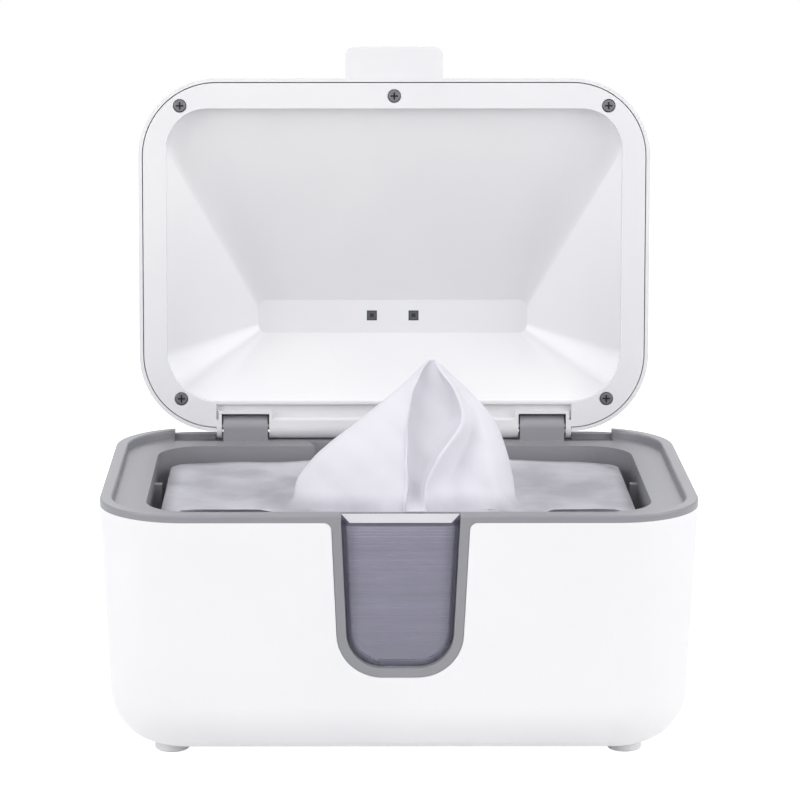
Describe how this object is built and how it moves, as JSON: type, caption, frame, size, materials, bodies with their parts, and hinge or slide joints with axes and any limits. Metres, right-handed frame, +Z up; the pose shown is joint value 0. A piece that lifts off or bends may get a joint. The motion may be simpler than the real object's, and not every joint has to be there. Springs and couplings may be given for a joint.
{
  "type": "baby wipe warmer",
  "caption": "Box-shaped electric warmer for a stack of moist wipes, with a hinged deep lid open at the rear, a grey liner tub, a smoked front window and lamps in the lid.",
  "frame": {"origin": "on the floor, under the middle of the body between its four feet, not counting the open lid", "axes": "+Z up; -Y is the front, with the window and the lid's tab; +X to the viewer's right, along the lid's hinge"},
  "size_m": [0.24, 0.2063, 0.2721],
  "materials": {
    "housing_white": "satin-gloss injection-moulded ABS, white",
    "lid_white": "gloss injection-moulded ABS, white",
    "tub_grey": "fine-textured moulded polypropylene, cool grey",
    "window_smoke": "clear smoke-tinted polycarbonate, polished",
    "seal_rubber": "soft moulded silicone, grey",
    "foot_rubber": "matt pale rubber",
    "screw_steel": "dark nickel-plated steel",
    "pin_steel": "drawn steel rod",
    "plate_aluminium": "rolled sheet",
    "film_amber": "amber polyimide heating film",
    "pad_foam": "closed-cell insulating foam",
    "clamp_steel": "zinc-plated sheet steel",
    "board_green": "solder-masked fibreglass board",
    "component_black": "moulded epoxy",
    "inlet_black": "moulded nylon",
    "button_grey": "satin moulded ABS, grey",
    "lead_red": "silicone wire insulation",
    "led_dark": "ceramic lamp package with a dark lens",
    "wipe_cloth": "moist non-woven cloth, white"
  },
  "bodies": {
    "base": {"housing_shell": "housing_white", "base_plate": "housing_white", "base_screws": "screw_steel", "feet": "foot_rubber", "tub_screws": "screw_steel", "inner_tub": "tub_grey", "window_pane": "window_smoke", "window_gasket": "seal_rubber", "heater_plate": "plate_aluminium", "heater_film": "film_amber", "insulation_pad": "pad_foam", "heater_clamp": "clamp_steel", "clamp_screws": "screw_steel", "thermostat": "clamp_steel", "thermal_fuse": "clamp_steel", "control_board": "board_green", "board_components": "component_black", "board_screws": "screw_steel", "dc_inlet": "inlet_black", "heater_leads": "lead_red", "wipe_stack": "wipe_cloth", "pulled_wipe": "wipe_cloth"},
    "lid": {"lid_outer_shell": "lid_white", "lid_liner": "lid_white", "liner_screws": "screw_steel", "hinge_pins": "pin_steel", "uv_led_board": "board_green", "uv_leds": "led_dark", "led_board_screws": "screw_steel"},
    "button": {"power_button": "button_grey"}
  },
  "joints": [
    {"name": "lid_hinge", "type": "hinge", "parent": "base", "child": "lid", "pos_m": [0, 0.076, 0.107], "axis": [1, 0, 0], "range_deg": [0, 95.39], "deforming": ["pulled_wipe"]},
    {"name": "button_press", "type": "slide", "parent": "base", "child": "button", "axis": [0, -1, 0], "range_m": [0, 0.0006], "stiffness_N_per_m": 1000}
  ]
}
